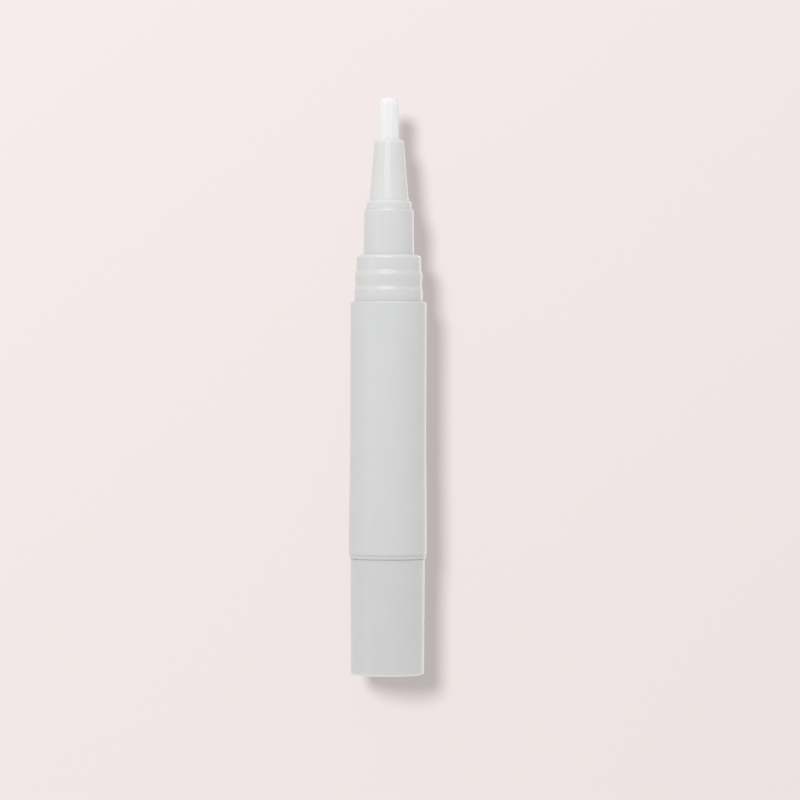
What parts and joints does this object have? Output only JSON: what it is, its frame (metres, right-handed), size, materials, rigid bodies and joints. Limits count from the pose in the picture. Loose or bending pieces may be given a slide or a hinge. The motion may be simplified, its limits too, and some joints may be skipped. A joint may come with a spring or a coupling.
{
  "type": "nail oil pen",
  "caption": "Twist-up brush pen for nail oil: turning the end knob drives a screw and piston that push oil through a conical nozzle to a fibre brush.",
  "frame": {"origin": "centre of the knob's flat foot, where the pen stands", "axes": "+Z along the pen's axis from the knob to the brush, +X to the right and -Y to the front in the reference view"},
  "size_m": [0.013, 0.013, 0.096],
  "materials": {
    "sleeve_plastic": "satin moulded white plastic",
    "collar_plastic": "smooth moulded white plastic",
    "knob_plastic": "satin moulded white plastic",
    "bush_plastic": "satin moulded white plastic",
    "nozzle_plastic": "polished, slightly translucent white plastic",
    "brush_fibre": "fine white nylon fibre",
    "inner_plastic": "natural acetal plastic",
    "piston_plastic": "waxy natural polyethylene",
    "seal_rubber": "clear grey silicone",
    "feed_steel": "drawn stainless tube"
  },
  "bodies": {
    "barrel": {"barrel_sleeve": "sleeve_plastic", "reservoir_tube": "collar_plastic", "nozzle_cone": "nozzle_plastic", "nozzle_seal": "seal_rubber", "brush_holder": "inner_plastic", "feed_tube": "feed_steel", "brush_tuft": "brush_fibre", "end_bush": "bush_plastic", "thread_nut": "inner_plastic"},
    "knob": {"twist_knob": "knob_plastic", "drive_sleeve": "inner_plastic", "click_ring": "inner_plastic"},
    "screw": {"screw_rod": "inner_plastic"},
    "plunger": {"piston": "piston_plastic", "piston_ring": "seal_rubber"}
  },
  "joints": [
    {"name": "knob_spin", "type": "hinge", "parent": "barrel", "child": "knob", "pos_m": [0, 0, 0], "axis": [0, 0, 1], "range_deg": [0, 2880], "deforming": ["click_ring"]},
    {"name": "screw_slide", "type": "slide", "parent": "knob", "child": "screw", "axis": [0, 0, 1], "range_m": [0, 0.024]},
    {"name": "piston_slide", "type": "slide", "parent": "barrel", "child": "plunger", "axis": [0, 0, 1], "range_m": [0, 0.024]}
  ],
  "couplings": [
    {"joint": "screw_slide", "follows": "knob_spin", "m_per_rad": 0.00047746},
    {"joint": "piston_slide", "follows": "knob_spin", "m_per_rad": 0.00047746}
  ]
}
